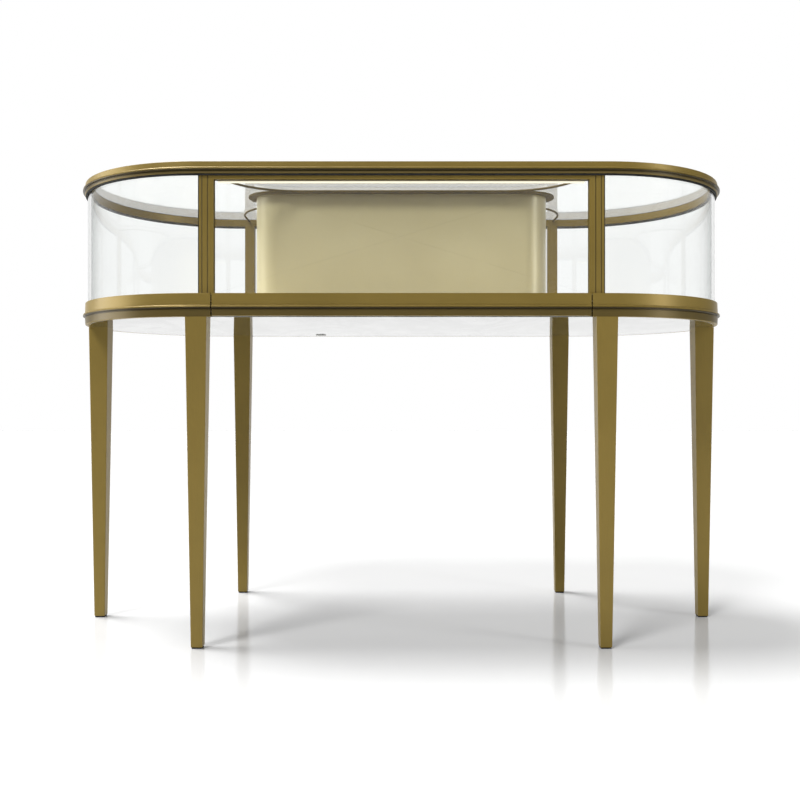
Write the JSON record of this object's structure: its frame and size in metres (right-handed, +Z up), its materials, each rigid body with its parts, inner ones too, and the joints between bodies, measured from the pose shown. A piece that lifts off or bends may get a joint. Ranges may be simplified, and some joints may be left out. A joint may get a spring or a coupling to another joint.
{
  "type": "glass display showcase",
  "caption": "Oval-ended glass display showcase on tapered legs, with a moulded bronze-finish base and top, a rounded central column, hinged rear doors and a shallow front drawer.",
  "frame": {"origin": "on the floor, under the middle of the case", "axes": "+X along the length, +Y from the drawer side to the door side, +Z up"},
  "size_m": [1.4, 0.6, 0.95],
  "materials": {
    "bronze": "satin bronze-gold plating over metal",
    "clear_glass": "clear toughened glass",
    "black_rubber": "matte",
    "black_plastic": "matte",
    "clear_pad": "clear soft pad",
    "aluminium": "satin anodised",
    "light": "frosted light diffuser",
    "board": "cream lacquered board",
    "cream_cloth": "short-pile cream cloth",
    "cream_lacquer": "satin champagne lacquer",
    "white_panel": "gloss white panel with faint grey veins",
    "frame_steel": "black powder coat",
    "zinc": "bright zinc",
    "plywood": "clear varnish",
    "white_plastic": "matte"
  },
  "bodies": {
    "case": {"top_frame": "bronze", "front_post_left": "bronze", "front_post_right": "bronze", "rear_post_left": "bronze", "rear_post_right": "bronze", "front_top_rail": "bronze", "front_bottom_rail": "bronze", "front_beads": "bronze", "core_cap": "bronze", "front_support_bar": "bronze", "rear_support_bar": "bronze", "fascia_left": "bronze", "fascia_right": "bronze", "fascia_rear": "bronze", "leg_front_left": "bronze", "leg_front_right": "bronze", "leg_end_left": "bronze", "leg_end_right": "bronze", "leg_rear_left": "bronze", "leg_rear_right": "bronze", "top_glass": "clear_glass", "curved_glass_left": "clear_glass", "curved_glass_right": "clear_glass", "front_glass": "clear_glass", "top_gasket": "black_rubber", "glass_seals": "black_rubber", "foot_glides": "black_rubber", "pivot_bushes": "black_plastic", "magnetic_catch": "black_plastic", "glass_bumpers": "clear_pad", "led_channel": "aluminium", "led_strip": "light", "led_diffuser": "light", "deck_board": "board", "deck_pad": "cream_cloth", "core_body": "cream_lacquer", "bottom_panel": "white_panel", "side_frame_left": "frame_steel", "side_frame_right": "frame_steel", "tie_rails": "frame_steel", "frame_bolts": "zinc", "fixed_runners": "zinc", "led_driver": "white_plastic", "cable_gland": "white_plastic"},
    "left_door": {"left_hinge_stile": "bronze", "left_door_glass": "clear_glass", "left_lock_stile": "bronze", "left_knob": "bronze", "bolt_guides": "bronze"},
    "right_door": {"right_hinge_stile": "bronze", "right_door_glass": "clear_glass", "right_lock_stile": "bronze", "right_knob": "bronze", "lock_housing": "zinc"},
    "flush_bolt": {"door_bolt": "zinc"},
    "lock": {"lock_plug": "bronze"},
    "drawer": {"drawer_front": "bronze", "drawer_box": "plywood", "drawer_liner": "cream_cloth", "moving_runners": "zinc"}
  },
  "joints": [
    {"name": "left_door_hinge", "type": "hinge", "parent": "case", "child": "left_door", "pos_m": [-0.362, 0.284, 0.808], "axis": [0, 0, 1], "range_deg": [0, 110]},
    {"name": "right_door_hinge", "type": "hinge", "parent": "case", "child": "right_door", "pos_m": [0.362, 0.284, 0.808], "axis": [0, 0, -1], "range_deg": [0, 110]},
    {"name": "lock_turn", "type": "hinge", "parent": "right_door", "child": "lock", "pos_m": [0.013, 0.284, 0.808], "axis": [0, 1, 0], "range_deg": [0, 90]},
    {"name": "flush_bolt_slide", "type": "slide", "parent": "left_door", "child": "flush_bolt", "axis": [0, 0, -1], "range_m": [0, 0.01]},
    {"name": "drawer_slide", "type": "slide", "parent": "case", "child": "drawer", "axis": [0, -1, 0], "range_m": [0, 0.3]}
  ]
}
